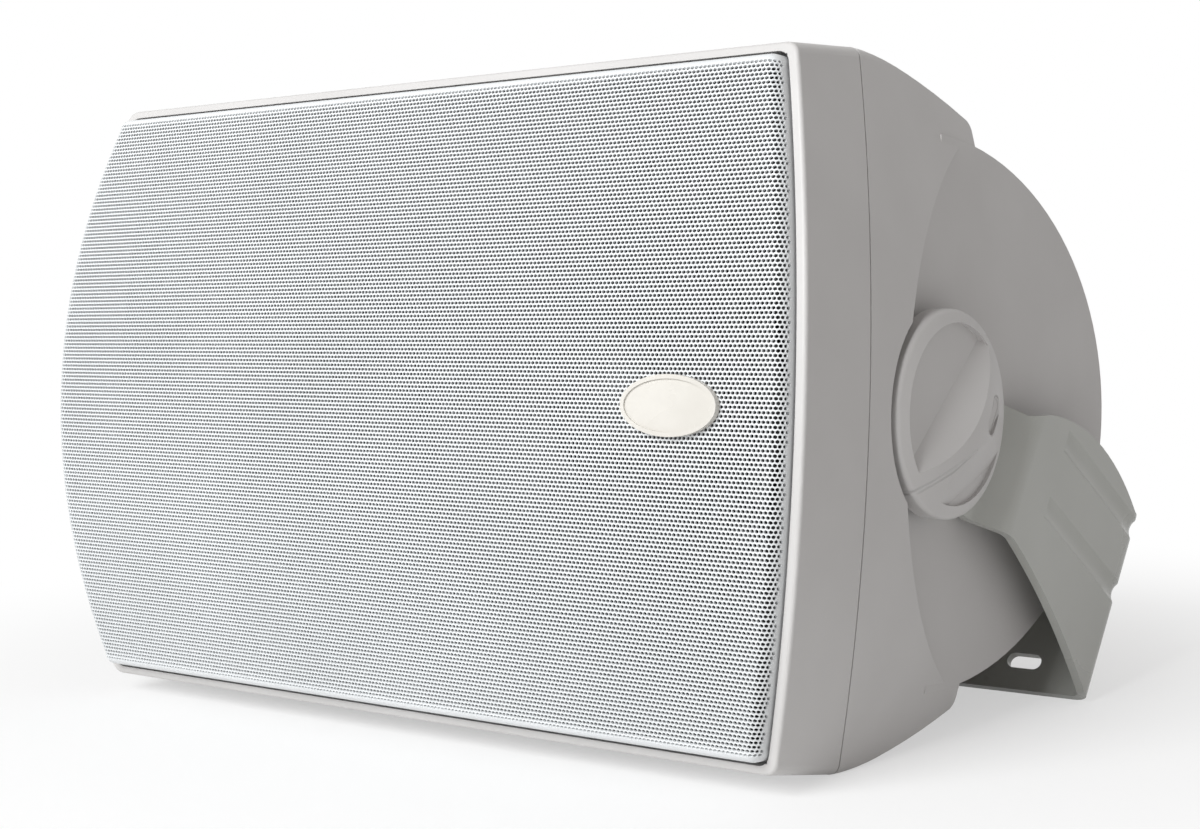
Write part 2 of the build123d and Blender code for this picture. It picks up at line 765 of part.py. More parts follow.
with BuildPart() as terminal_cup:
    with BuildSketch(y_plane(cup_flange_front)):
        RectangleRounded(cup_length, cup_height, corner_radius)
        with GridLocations(cup_length - cup_flange, cup_height - cup_flange, 2, 2):
            Circle(screw_shank_radius, mode=Mode.SUBTRACT)
    extrude(amount=-cup_sheet)
    with BuildSketch(y_plane(cup_floor)):
        Rectangle(well_length, well_height)
    extrude(amount=-cup_well - cup_gasket_thickness)
    with BuildSketch(y_plane(cup_floor + cup_sheet)):
        Rectangle(well_length - 2 * cup_sheet, well_height - 2 * cup_sheet)
    extrude(amount=-through, mode=Mode.SUBTRACT)
    with BuildSketch(y_plane(cup_floor)):
        with GridLocations(standoff_span_x, standoff_span_z, 2, 2):
            Circle(standoff_radius)
    extrude(amount=standoff_height)
    with BuildSketch(y_plane(cup_floor - standoff_height)):
        with GridLocations(post_spacing, 0, 2, 1):
            Circle(post_stud_radius)
    extrude(amount=-through, mode=Mode.SUBTRACT)

with BuildPart() as terminal_screws:
    with BuildSketch(y_plane(cup_flange_front + cup_sheet)):
        with GridLocations(cup_length - cup_flange, cup_height - cup_flange, 2, 2):
            Circle(small_head_radius)
    extrude(amount=-screw_head_height)
    with BuildSketch(y_plane(cup_flange_front + cup_sheet)):
        with GridLocations(cup_length - cup_flange, cup_height - cup_flange, 2, 2):
            Circle(screw_shank_radius)
    extrude(amount=cup_sheet + cup_gasket_thickness)

# Binding posts: a stud through the cup floor and a cap that screws along it
post_seat = cup_floor + cup_sheet
cap_seat = post_seat + post_collar_height + post_cap_gap
post_studs = {}
post_caps = {}
for colour, side in {"red": 1, "black": -1}.items():
    post_x = side * post_spacing / 2
    with BuildPart() as post_stud:
        with BuildSketch(y_plane(cup_floor - post_tail)):
            with Locations((post_x, 0)):
                Circle(post_stud_radius)
        extrude(amount=-(cap_seat - cup_floor + post_tail + post_cap_height - post_tip_gap))
        with BuildSketch(y_plane(post_seat)):
            with Locations((post_x, 0)):
                Circle(post_collar_radius)
        extrude(amount=-post_collar_height)
    post_studs[f"post_stud_{colour}"] = post_stud
    with BuildPart() as post_cap:
        with BuildSketch(y_plane(cap_seat)):
            with Locations((post_x, 0)):
                RegularPolygon(post_cap_radius, post_cap_sides)
        extrude(amount=-post_cap_height)
        with BuildSketch(y_plane(cap_seat)):
            with Locations((post_x, 0)):
                Circle(post_stud_radius + post_thread_clearance)
        extrude(amount=post_cap_crown - post_cap_height, mode=Mode.SUBTRACT)
    post_caps[f"post_cap_{colour}"] = post_cap

# Crossover board on the cup's standoffs, with its parts
board_rear = cup_floor - standoff_height
board_face = board_rear - crossover_sheet
with BuildPart() as crossover_board:
    with BuildSketch(y_plane(board_rear)):
        Rectangle(crossover_length, crossover_height)
    extrude(amount=crossover_sheet)

chokes = {}
for place, side in sides.items():
    with BuildPart() as choke:
        ring(board_face - choke_height, choke_radius, choke_bore, choke_height, side * choke_x, choke_z)
    chokes[f"choke_{place}"] = choke

capacitors = {}
for place, spot in {"upper": (0, capacitor_upper_z), "lower": (capacitor_lower_x, capacitor_lower_z)}.items():
    with BuildPart() as capacitor:
        with BuildSketch(Plane.YZ.offset(spot[0] - capacitor_length / 2)):
            with Locations((board_face - capacitor_radius, spot[1])):
                Circle(capacitor_radius)
        extrude(amount=capacitor_length)
    capacitors[f"capacitor_{place}"] = capacitor

with BuildPart() as resistor:
    with BuildSketch(y_plane(board_face)):
        with Locations((resistor_x, resistor_z)):
            RectangleRounded(resistor_width, resistor_side, resistor_rounding)
    extrude(amount=resistor_side)


# Clamping knob: domed disc with a deep scoop and a shallow facet either side of a diagonal grip bar
knob_rim = knob_base + knob_rim_height
knob_crown = knob_rim + knob_dome_height
stud_tip = knob_base + knob_rim_height / 2
knob_dish = knob_radius - knob_rim_width


def dome_height(radius):
    """Height of the knob's dome over its base plane's origin at a radius."""
    return knob_rim + cap_rise(radius, knob_radius, knob_dome_height)


def dished_cut(bar_angle, points):
    """Prism along a grip edge, kept inside the knob's rim; points are distance across the edge and height."""
    bar = math.radians(bar_angle)
    along = (0, math.cos(bar), math.sin(bar))
    across = (0, -math.sin(bar), math.cos(bar))
    with BuildPart() as cut:
        with BuildSketch(Plane(origin=(0, pivot_y, 0), x_dir=across, z_dir=along)):
            with BuildLine() as edge:
                Polyline(*points, close=True)
            make_face(edge.edges())
        extrude(amount=knob_radius, both=True)
        with BuildSketch(Plane.YZ):
            with Locations((pivot_y, 0)):
                Circle(knob_dish)
        extrude(amount=2 * knob_crown, mode=Mode.INTERSECT)
    return cut.part


scoop_floor = knob_rim - knob_scoop_sink
scoop_rise = (knob_crown - scoop_floor) / (knob_scoop_edge + knob_scoop_crest)
scoop_reach = scoop_floor + scoop_rise * (knob_scoop_edge + knob_radius)
deep_scoop = dished_cut(knob_bar_angle, [(knob_scoop_edge, scoop_floor), (knob_radius, scoop_floor),
                                         (knob_radius, scoop_reach), (-knob_radius, scoop_reach)])
facet_top = dome_height(knob_facet_crest) - knob_facet_step
facet_floor = knob_rim + knob_facet_rise
shallow_facet = dished_cut(knob_facet_angle, [(-knob_facet_crest, facet_top), (-knob_facet_edge, facet_floor),
                                              (-knob_radius, facet_floor), (-knob_radius, knob_crown),
                                              (-knob_facet_crest, knob_crown)])
with BuildPart() as knob_right:
    with BuildSketch(Plane.XY):
        with BuildLine():
            Polyline((knob_crown, pivot_y), (knob_base, pivot_y), (knob_base, pivot_y + knob_radius),
                     (knob_rim, pivot_y + knob_radius))
            ThreePointArc((knob_rim, pivot_y + knob_radius),
                          (dome_height(knob_radius / 2), pivot_y + knob_radius / 2), (knob_crown, pivot_y))
        make_face()
    revolve(axis=Axis((0, pivot_y, 0), (1, 0, 0)))
    fillet(knob_right.edges().filter_by_position(Axis.X, knob_rim, knob_rim), knob_rounding)
    add(deep_scoop, mode=Mode.SUBTRACT)
    add(shallow_facet, mode=Mode.SUBTRACT)
    with BuildSketch(Plane.YZ.offset(dome_height(knob_pointer_place) - knob_pointer_depth)):
        with Locations(Location((pivot_y + knob_pointer_place, 0), knob_pointer_angle)):
            SlotOverall(knob_pointer_length, knob_pointer_width)
    extrude(amount=knob_radius, mode=Mode.SUBTRACT)
    with BuildSketch(Plane.YZ.offset(stud_tip)):
        with Locations((pivot_y, 0)):
            Circle(stud_radius)
    extrude(amount=-knob_rim_height, mode=Mode.SUBTRACT)

with BuildPart() as knob_left:
    add(knob_right.part.mirror(Plane.YZ))

# Threaded inserts, friction washers and clamping studs at the two pivots
pivot_pieces = {}
for place, side in sides.items():
    with BuildPart() as pivot_insert:
        with BuildSketch(Plane.YZ.offset(side * drum_end)):
            with Locations((pivot_y, 0)):
                Circle(insert_radius)
                Circle(stud_radius + stud_clearance, mode=Mode.SUBTRACT)
        extrude(amount=-side * insert_length)
    pivot_pieces[f"pivot_insert_{place}"] = pivot_insert

    with BuildPart() as friction_washer:
        with BuildSketch(Plane.YZ.offset(side * drum_end)):
            with Locations((pivot_y, 0)):
                Circle(washer_radius)
                Circle(stud_radius + bracket_hole_clearance, mode=Mode.SUBTRACT)
        extrude(amount=side * washer_thickness)
    pivot_pieces[f"friction_washer_{place}"] = friction_washer

    with BuildPart() as knob_stud:
        with BuildSketch(Plane.YZ.offset(side * stud_tip)):
            with Locations((pivot_y, 0)):
                Circle(stud_radius)
        extrude(amount=-side * (stud_tip - drum_end + insert_length - stud_end_gap))
    pivot_pieces[f"knob_stud_{place}"] = knob_stud

# Bracket: one pressed sheet, tongues under the knobs, joggled arms and a wall plate behind the drum
arm_inner = tongue_inner + bracket_joggle
arm_outer = arm_inner + bracket_sheet
joggle_end = bracket_joggle_start + bracket_joggle_run
joggle_shift = bracket_sheet * math.tan(math.atan2(bracket_joggle, bracket_joggle_run) / 2)
tongue_end = -bracket_tongue_width / 2
half_plate = bracket_plate_width / 2
half_tongue = bracket_tongue_width / 2
bend_start = bracket_reach - bracket_bend_radius
bead_radius = cap_radius(bead_width / 2, bead_depth)
angle = math.radians(bracket_angle)
swing = Plane(origin=(0, pivot_y, 0), x_dir=(1, 0, 0), z_dir=(0, math.sin(angle), math.cos(angle)))
side_view = Plane(origin=swing.origin, x_dir=swing.y_dir, z_dir=(1, 0, 0))
plate_view = Plane(origin=swing.origin + swing.y_dir * bracket_reach, x_dir=(1, 0, 0), z_dir=swing.y_dir)


def sheet_face(tongue, arm, plate, shift):
    """Corner points of one face of the bracket sheet, seen along the swing, from left to right."""
    right = [(arm, plate), (arm, joggle_end + shift), (tongue, bracket_joggle_start + shift),
             (tongue, tongue_end)]
    left = [(-x, y) for x, y in reversed(right)]
    return left + right


def bead_groove(side, row):
    """Round-bottomed groove that follows the bend of one arm in the outer face of the sheet."""
    lift = bead_radius - bead_depth
    with BuildLine(swing.offset(row)) as path:
        FilletPolyline((side * (arm_outer + lift), bead_start),
                       (side * (arm_outer + lift), bracket_reach + lift),
                       (side * (arm_outer - bead_plate_run), bracket_reach + lift),
                       radius=bracket_bend_radius + lift)
    with BuildSketch(Plane(origin=path.line @ 0, z_dir=path.line % 0)) as section:
        Circle(bead_radius)
    sweep(section.sketch, path=path.line, mode=Mode.SUBTRACT)


def bead_strip(side, row, width, low, high):
    """Strip that follows the bend of one arm between two heights over the outer face of the sheet."""
    with BuildSketch(swing.offset(row - width / 2)) as strip:
        with BuildLine() as edge:
            paths = []
            for height in (low, high):
                run = FilletPolyline((side * (arm_outer + height), bead_start - height),
                                     (side * (arm_outer + height), bracket_reach + height),
                                     (side * (arm_outer - bead_plate_run - height), bracket_reach + height),
                                     radius=bracket_bend_radius + height)
                paths.append(run)
            Line(paths[0] @ 0, paths[1] @ 0)
            Line(paths[0] @ 1, paths[1] @ 1)
        make_face(edge.edges())
    extrude(strip.sketch, amount=width)


with BuildPart() as bracket:
    with BuildSketch(swing):
        with BuildLine():
            tight = bracket_joggle_radius
            wide = bracket_joggle_radius + bracket_sheet
            bend = bracket_bend_radius
            outer = FilletPolyline(*sheet_face(tongue_outer, arm_outer, bracket_reach, 0),
                                   radius=[tight, wide, bend, bend, wide, tight])
            bend -= bracket_sheet
            inner = FilletPolyline(*sheet_face(tongue_inner, arm_inner, bracket_reach - bracket_sheet,
                                               joggle_shift),
                                   radius=[wide, tight, bend, bend, tight, wide])
            Line(outer @ 0, inner @ 0)
            Line(outer @ 1, inner @ 1)
        make_face()
    extrude(amount=bracket_plate_width, both=True)
    with BuildSketch(side_view):
        with BuildLine():
            Polyline((bend_start, -half_plate), (bracket_reach + bracket_sheet, -half_plate),
                     (bracket_reach + bracket_sheet, half_plate), (bend_start, half_plate))
            ThreePointArc((bend_start, half_plate), (arm_crest, arm_crest_upper),
                          (arm_waist, arm_waist_upper))
            Polyline((arm_waist, arm_waist_upper), (arm_neck, arm_neck_upper), (0, half_tongue))
            ThreePointArc((0, half_tongue), (tongue_end, 0), (0, -half_tongue))
            Line((0, -half_tongue), (arm_waist, -arm_waist_lower))
            ThreePointArc((arm_waist, -arm_waist_lower), (arm_crest, -arm_crest_lower),
                          (bend_start, -half_plate))
        make_face()
    extrude(amount=through, both=True, mode=Mode.INTERSECT)
    with BuildSketch(side_view):
        Circle(stud_radius + bracket_hole_clearance)
    extrude(amount=through, both=True, mode=Mode.SUBTRACT)
    with BuildSketch(plate_view):
        with Locations(*[(x * side, row * slot_row) for x in (slot_x_inner, slot_x_outer) for side in (-1, 1)
                         for row in (-1, 0, 1)]):
            SlotOverall(slot_length, slot_width)
    extrude(amount=-2 * bracket_sheet, mode=Mode.SUBTRACT)
    # Stiffening beads pressed inwards along each arm and round the bend
    for side in sides.values():
        for row in (bead_centre - bead_spacing / 2, bead_centre + bead_spacing / 2):
            bead_strip(side, row, bead_width, -bracket_sheet - bead_depth, -bracket_sheet / 2)
            bead_groove(side, row)

lean = math.degrees(math.atan2(
    half_height - bracket_reach * math.sin(angle)
    - half_plate * math.cos(angle),
    pivot_y + bracket_reach * math.cos(angle)
    - half_plate * math.sin(angle) - cabinet_front))

pieces = {
    "front_baffle": front_baffle, "rear_cabinet": rear_cabinet, "cabinet_gasket": cabinet_gasket,
    "cabinet_screws": cabinet_screws, "grille": grille, "badge": badge,
    "woofer_basket": woofer_basket, "woofer_gasket": woofer_gasket, "woofer_screws": woofer_screws,
    "woofer_surround": woofer_surround, "woofer_cone": woofer_cone, "woofer_dust_cap": woofer_dust_cap,
    "woofer_voice_coil": woofer_voice_coil, "woofer_spider": woofer_spider,
    "woofer_top_plate": woofer_top_plate, "woofer_magnet": woofer_magnet,
    "woofer_back_plate": woofer_back_plate, "horn": horn, "horn_screws": horn_screws,
    "tweeter_plate": tweeter_plate, "tweeter_magnet": tweeter_magnet,
    "tweeter_diaphragm": tweeter_diaphragm, "tweeter_back_plate": tweeter_back_plate,
    "terminal_gasket": terminal_gasket, "terminal_cup": terminal_cup, "terminal_screws": terminal_screws,
    "crossover_board": crossover_board, "resistor": resistor, "bracket": bracket,
    "knob_left": knob_left, "knob_right": knob_right,
    **port_tubes, **post_studs, **post_caps, **chokes, **capacitors, **pivot_pieces,
}

# Standing pose: leaning back on the band's rear edge and the bracket's lower edge, origin under the middle
leaning = Location((0, 0, 0), (-lean, 0, 0))
extent = Compound([piece.part.moved(leaning) for piece in pieces.values()]).bounding_box()
standing = Location((0, -extent.center().Y, -extent.min.Z)) * leaning
print(f"lean {lean:.3f} deg, moved by Y {-extent.center().Y:.3f} and Z {-extent.min.Z:.3f} mm")

os.makedirs("parts", exist_ok=True)
for name, piece in pieces.items():
    placed = piece.part.moved(standing)
    placed.label = name
    export_step(placed, f"parts/{name}.step")
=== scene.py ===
# %% [markdown]
# # An outdoor patio speaker, dressed for a studio photograph
# The solids of the speaker are already built and packed. This lesson loads them as a frame, puts a
# camera where the photographer stood, and then gives every piece its finish.
# One piece is made anew: the grille, because tens of thousands of small holes belong in the picture
# and not in the solid, which has plain slots in their place.

import json
import math

import bpy
from mathutils import Matrix, Vector


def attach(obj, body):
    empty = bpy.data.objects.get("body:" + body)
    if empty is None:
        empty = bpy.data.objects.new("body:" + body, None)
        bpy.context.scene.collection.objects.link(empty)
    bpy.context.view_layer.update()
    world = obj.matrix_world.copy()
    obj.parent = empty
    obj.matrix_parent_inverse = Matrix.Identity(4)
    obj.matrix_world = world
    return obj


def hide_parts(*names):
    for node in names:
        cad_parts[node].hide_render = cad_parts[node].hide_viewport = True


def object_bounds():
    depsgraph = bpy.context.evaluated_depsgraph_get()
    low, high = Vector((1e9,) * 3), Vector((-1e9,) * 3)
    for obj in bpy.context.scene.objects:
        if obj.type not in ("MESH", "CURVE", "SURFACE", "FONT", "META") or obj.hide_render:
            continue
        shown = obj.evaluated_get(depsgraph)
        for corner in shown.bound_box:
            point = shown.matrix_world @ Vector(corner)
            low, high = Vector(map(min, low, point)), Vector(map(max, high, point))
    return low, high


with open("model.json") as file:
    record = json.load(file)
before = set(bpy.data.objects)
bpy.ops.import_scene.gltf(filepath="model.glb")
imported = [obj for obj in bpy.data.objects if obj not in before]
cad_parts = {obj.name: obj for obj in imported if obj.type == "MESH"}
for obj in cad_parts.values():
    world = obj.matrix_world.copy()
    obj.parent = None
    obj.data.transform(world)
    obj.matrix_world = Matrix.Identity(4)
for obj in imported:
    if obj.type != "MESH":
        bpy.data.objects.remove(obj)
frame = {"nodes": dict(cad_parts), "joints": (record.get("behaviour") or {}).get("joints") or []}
cad_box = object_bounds()
nodes = frame["nodes"]
joints = {joint["name"]: joint for joint in frame["joints"]}
print("nodes loaded:", len(nodes), "box:", [tuple(round(v, 4) for v in corner) for corner in cad_box])

# %% [markdown]
# The speaker leans back a little on its wall bracket. It is easier to think in the cabinet's own
# axes: X along the length, Y from front to back, Z up from mid-height. The cone's axis says how far
# the cabinet leans and the bracket's hinge says where the pivot went, so both come from the frame.

# %% Find the cabinet's own axes
stroke = joints["woofer_stroke"]["axis"]
lean = math.atan2(stroke[2], -stroke[1])
pivot_depth = 0.064
pivot = Vector(joints["bracket_tilt"]["pos_m"])
cabinet_axes = (
    Matrix.Translation(pivot) @ Matrix.Rotation(-lean, 4, "X") @ Matrix.Translation((0, -pivot_depth, 0))
)
print("cabinet leans back by", round(math.degrees(lean), 3), "degrees")

# %% [markdown]
# The camera stands to the right of the speaker at mid-height, near enough for a strong perspective.
# Its place and its turn were worked out from straight edges and corners of the cabinet, so it is
# written as a point and three angles in the cabinet's axes and then carried over to the room.

# %% Camera
camera_place = Vector((0.4913, -0.4993, -0.00263))
camera_yaw = math.radians(39.4)
camera_pitch = math.radians(-0.047)
camera_roll = math.radians(1.647)

forward = Vector(
    (
        -math.sin(camera_yaw) * math.cos(camera_pitch),
        math.cos(camera_yaw) * math.cos(camera_pitch),
        math.sin(camera_pitch),
    )
)
level_right = forward.cross(Vector((0, 0, 1))).normalized()
level_up = level_right.cross(forward)
right = level_right * math.cos(camera_roll) + level_up * math.sin(camera_roll)
up = level_up * math.cos(camera_roll) - level_right * math.sin(camera_roll)
turn = Matrix((right, up, -forward)).transposed().to_4x4()

camera_data = bpy.data.cameras.new("studio_camera")
camera_data.lens = 63.0
camera_data.sensor_width = 36.0
camera_data.clip_start = 0.01
camera = bpy.data.objects.new("studio_camera", camera_data)
bpy.context.scene.collection.objects.link(camera)
camera.matrix_world = cabinet_axes @ Matrix.Translation(camera_place) @ turn
bpy.context.scene.camera = camera
bpy.context.scene.view_settings.view_transform = "Standard"
print("camera at", tuple(round(v, 4) for v in camera.matrix_world.translation))


# %% [markdown]
# Node trees are long to write by hand. One helper makes a node, sets its plain values and wires its
# inputs, so that a finish reads as a short recipe. A second one does a step of arithmetic.

# %% Helpers for node trees
def put(tree, kind, inputs=None, **settings):
    """Add a node, set its properties, and fill its inputs with values or with other sockets."""
    node = tree.nodes.new(kind)
    for name, value in settings.items():
        setattr(node, name, value)
    for name, value in (inputs or {}).items():
        socket = node.inputs[name]
        if isinstance(value, bpy.types.NodeSocket):
            tree.links.new(value, socket)
        else:
            socket.default_value = value
    return node


def calc(tree, operation, *values):
    """One step of arithmetic on sockets or plain numbers."""
    return put(tree, "ShaderNodeMath", dict(enumerate(values)), operation=operation).outputs[0]


# %% [markdown]
# A pale floor catches the shadow. Far from the speaker the floor has to fade into a white room with
# no horizon, so its material turns into plain white for the camera there. The world does the same:
# white where it is seen, and a soft grey light for everything else.

# %% Floor and world
def seen_by_eye(tree):
    """1 where a ray looks at the surface or mirrors it, 0 where the surface only lights other things."""
    path = put(tree, "ShaderNodeLightPath")
    mirror = calc(tree, "MAXIMUM", path.outputs["Is Glossy Ray"], path.outputs["Is Transmission Ray"])
    return calc(tree, "MAXIMUM", path.outputs["Is Camera Ray"], mirror)


shadow_reach = 0.1
white_reach = 0.42
shadow_fade = 0.5
bounce_tone = 0.9
seen_tone = 0.98
room_tint = (1.0, 0.965, 0.945, 1)
room_strength = 0.325

floor_paint = bpy.data.materials.new("floor_paint")
floor_paint.use_nodes = True
tree = floor_paint.node_tree
tree.nodes.clear()
place = put(tree, "ShaderNodeTexCoord")
reach = put(tree, "ShaderNodeVectorMath", {0: place.outputs["Object"]}, operation="LENGTH")
fade = put(tree, "ShaderNodeMapRange",
           {"Value": reach.outputs["Value"], "From Min": shadow_reach, "From Max": white_reach,
            "To Min": shadow_fade, "To Max": 1.0},
           interpolation_type="SMOOTHSTEP")
away = calc(tree, "MULTIPLY", fade.outputs[0], seen_by_eye(tree))
looked_at = put(tree, "ShaderNodeLightPath").outputs["Is Camera Ray"]
tone = put(tree, "ShaderNodeMapRange", {"Value": looked_at, "To Min": bounce_tone, "To Max": seen_tone})
matt = put(tree, "ShaderNodeBsdfDiffuse", {"Color": tone.outputs[0]})
white = put(tree, "ShaderNodeEmission", {"Color": (1, 1, 1, 1), "Strength": 1.0})
mixed = put(tree, "ShaderNodeMixShader", {0: away, 1: matt.outputs[0], 2: white.outputs[0]})
put(tree, "ShaderNodeOutputMaterial", {"Surface": mixed.outputs[0]})

floor_mesh = bpy.data.meshes.new("floor")
floor_half = 6.0
floor_mesh.from_pydata(
    [(-floor_half, -floor_half, 0), (floor_half, -floor_half, 0), (floor_half, floor_half, 0),
     (-floor_half, floor_half, 0)],
    [], [(0, 1, 2, 3)])
floor_mesh.materials.append(floor_paint)
floor = bpy.data.objects.new("floor", floor_mesh)
bpy.context.scene.collection.objects.link(floor)

world = bpy.data.worlds.new("white_room")
bpy.context.scene.world = world
world.use_nodes = True
tree = world.node_tree
tree.nodes.clear()
room_light = put(tree, "ShaderNodeBackground", {"Color": room_tint, "Strength": room_strength})
room_white = put(tree, "ShaderNodeBackground", {"Color": (1, 1, 1, 1), "Strength": 1.0})
mixed = put(tree, "ShaderNodeMixShader",
            {0: seen_by_eye(tree), 1: room_light.outputs[0], 2: room_white.outputs[0]})
put(tree, "ShaderNodeOutputWorld", {"Surface": mixed.outputs[0]})
print("floor and white room ready")


# %% [markdown]
# The photograph is lit from the front and above: the front and the top are bright and the near end
# is about half as bright. One large soft box does that, and the room itself gives the rest.

# %% Soft box
def soft_box(name, place, aim, width, power, tint):
    """Square area lamp at a place in the room, turned to a point."""
    lamp = bpy.data.lights.new(name, "AREA")
    lamp.shape = "SQUARE"
    lamp.size = width
    lamp.energy = power
    lamp.color = tint
    box = bpy.data.objects.new(name, lamp)
    box.location = place
    box.rotation_mode = "QUATERNION"
    box.rotation_quaternion = (Vector(aim) - Vector(place)).to_track_quat("-Z", "Y")
    bpy.context.scene.collection.objects.link(box)
    return box


middle = (cad_box[0] + cad_box[1]) / 2
key_place = (-0.05, -1.45, 0.95)
key_width = 0.9
key_power = 27.5
key_tint = (0.97, 0.99, 1.0)
soft_box("key_box", key_place, middle, key_width, key_power, key_tint)


# %% [markdown]
# Moulded plastic, powder paint and rubber all have a fine skin and a slow unevenness in tone. Both
# come from one shader group: a broad noise that shifts colour and gloss, and a fine one for the bump.

# %% Skin group
def skin_group():
    """Shader group with a slow tone, a slow gloss and a fine height, all on object coordinates."""
    group = bpy.data.node_groups.new("surface_skin", "ShaderNodeTree")
    for name, value in (("Broad Scale", 18.0), ("Fine Scale", 900.0), ("Detail", 3.0)):
        socket = group.interface.new_socket(name, in_out="INPUT", socket_type="NodeSocketFloat")
        socket.default_value = value
    for name in ("Tone", "Gloss", "Height"):
        group.interface.new_socket(name, in_out="OUTPUT", socket_type="NodeSocketFloat")
    inside = put(group, "NodeGroupInput")
    spot = put(group, "ShaderNodeTexCoord")
    broad = put(group, "ShaderNodeTexNoise",
                {"Vector": spot.outputs["Object"], "Scale": inside.outputs["Broad Scale"], "Detail": 4.0})
    gloss = put(group, "ShaderNodeTexNoise",
                {"Vector": spot.outputs["Object"], "Scale": inside.outputs["Broad Scale"], "Detail": 6.0,
                 "Distortion": 1.2})
    fine = put(group, "ShaderNodeTexNoise",
               {"Vector": spot.outputs["Object"], "Scale": inside.outputs["Fine Scale"],
                "Detail": inside.outputs["Detail"]})
    put(group, "NodeGroupOutput",
        {"Tone": broad.outputs["Fac"], "Gloss": gloss.outputs["Fac"], "Height": fine.outputs["Fac"]})
    return group


surface_skin = skin_group()
print("group:", surface_skin.name, [s.name for s in surface_skin.interface.items_tree])


# %% [markdown]
# Every finish is then the same recipe with its own two colours, gloss and grain.

# %% Finishes
def finish(name, dark, light, rough=(0.4, 0.5), metallic=0.0, broad=18.0, fine=900.0, relief=0.02,
           depth=0.0004):
    """Material whose colour and gloss drift slowly over the piece and whose skin has a fine grain."""
    material = bpy.data.materials.new(name)
    material.use_nodes = True
    tree = material.node_tree
    tree.nodes.clear()
    skin = put(tree, "ShaderNodeGroup", {}, node_tree=surface_skin)
    skin.inputs["Broad Scale"].default_value = broad
    skin.inputs["Fine Scale"].default_value = fine
    tone = put(tree, "ShaderNodeMapRange", {"Value": skin.outputs["Tone"], "From Min": 0.3, "From Max": 0.7})
    colour = put(tree, "ShaderNodeMix", {"Factor": tone.outputs[0]}, data_type="RGBA")
    colour.inputs[6].default_value = (*dark, 1)
    colour.inputs[7].default_value = (*light, 1)
    gloss = put(tree, "ShaderNodeMapRange",
                {"Value": skin.outputs["Gloss"], "From Min": 0.3, "From Max": 0.7, "To Min": rough[0],
                 "To Max": rough[1]})
    bump = put(tree, "ShaderNodeBump",
               {"Height": skin.outputs["Height"], "Strength": relief, "Distance": depth})
    surface = put(tree, "ShaderNodeBsdfPrincipled",
                  {"Base Color": colour.outputs[2], "Roughness": gloss.outputs[0], "Normal": bump.outputs[0],
                   "Metallic": metallic})
    put(tree, "ShaderNodeOutputMaterial", {"Surface": surface.outputs[0]})
    return material


cabinet_shades = ((0.57, 0.555, 0.545), (0.61, 0.595, 0.585))
finishes = {
    "cabinet_plastic": finish("cabinet_plastic", *cabinet_shades, (0.42, 0.52), fine=1600.0, relief=0.25,
                              depth=0.0001),
    "grille_paint": finish("grille_paint", (0.74, 0.755, 0.765), (0.78, 0.795, 0.805), (0.42, 0.52),
                           fine=1200.0, relief=0.1, depth=0.0001),
    "badge_cream": finish("badge_cream", (0.60, 0.575, 0.53), (0.66, 0.635, 0.59), (0.22, 0.32), broad=60.0),
    "bracket_paint": finish("bracket_paint", (0.45, 0.455, 0.425), (0.50, 0.505, 0.475), (0.26, 0.34),
                            fine=700.0, relief=0.15, depth=0.0001),
    "gasket_grey": finish("gasket_grey", (0.46, 0.45, 0.44), (0.50, 0.49, 0.48), (0.6, 0.75)),
    "black_rubber": finish("black_rubber", (0.018, 0.018, 0.019), (0.03, 0.03, 0.031), (0.6, 0.75)),
    "steel": finish("steel", (0.45, 0.45, 0.46), (0.58, 0.58, 0.59), (0.25, 0.4), metallic=1.0, broad=90.0),
    "black_zinc": finish("black_zinc", (0.012, 0.012, 0.013), (0.022, 0.022, 0.023), (0.45, 0.6),
                         metallic=0.6, broad=90.0),
    "black_plastic": finish("black_plastic", (0.02, 0.02, 0.021), (0.035, 0.035, 0.036), (0.35, 0.5)),
    "cone_graphite": finish("cone_graphite", (0.025, 0.026, 0.028), (0.05, 0.05, 0.052), (0.4, 0.55)),
    "spider_cloth": finish("spider_cloth", (0.45, 0.31, 0.12), (0.56, 0.40, 0.18), (0.75, 0.9)),
    "copper_winding": finish("copper_winding", (0.62, 0.28, 0.14), (0.78, 0.38, 0.2), (0.25, 0.4),
                             metallic=1.0),
    "ferrite": finish("ferrite", (0.035, 0.035, 0.037), (0.06, 0.06, 0.062), (0.55, 0.7)),
    "titanium_foil": finish("titanium_foil", (0.2, 0.2, 0.205), (0.26, 0.26, 0.265), (0.4, 0.55),
                            metallic=0.8),
    "board_green": finish("board_green", (0.02, 0.12, 0.05), (0.03, 0.17, 0.07), (0.3, 0.45)),
    "red_plastic": finish("red_plastic", (0.42, 0.015, 0.012), (0.55, 0.025, 0.02), (0.3, 0.45)),
    "brass_metal": finish("brass_metal", (0.62, 0.46, 0.2), (0.74, 0.56, 0.27), (0.2, 0.35), metallic=1.0),
    "capacitor_sleeve": finish("capacitor_sleeve", (0.02, 0.03, 0.09), (0.03, 0.05, 0.13), (0.3, 0.4)),
}
print("finishes:", len(finishes))

# %% [markdown]
# Which node wears which finish is one table, read the other way round to paint the nodes. The screws
# behind the grille are black, or they would glint through its holes.

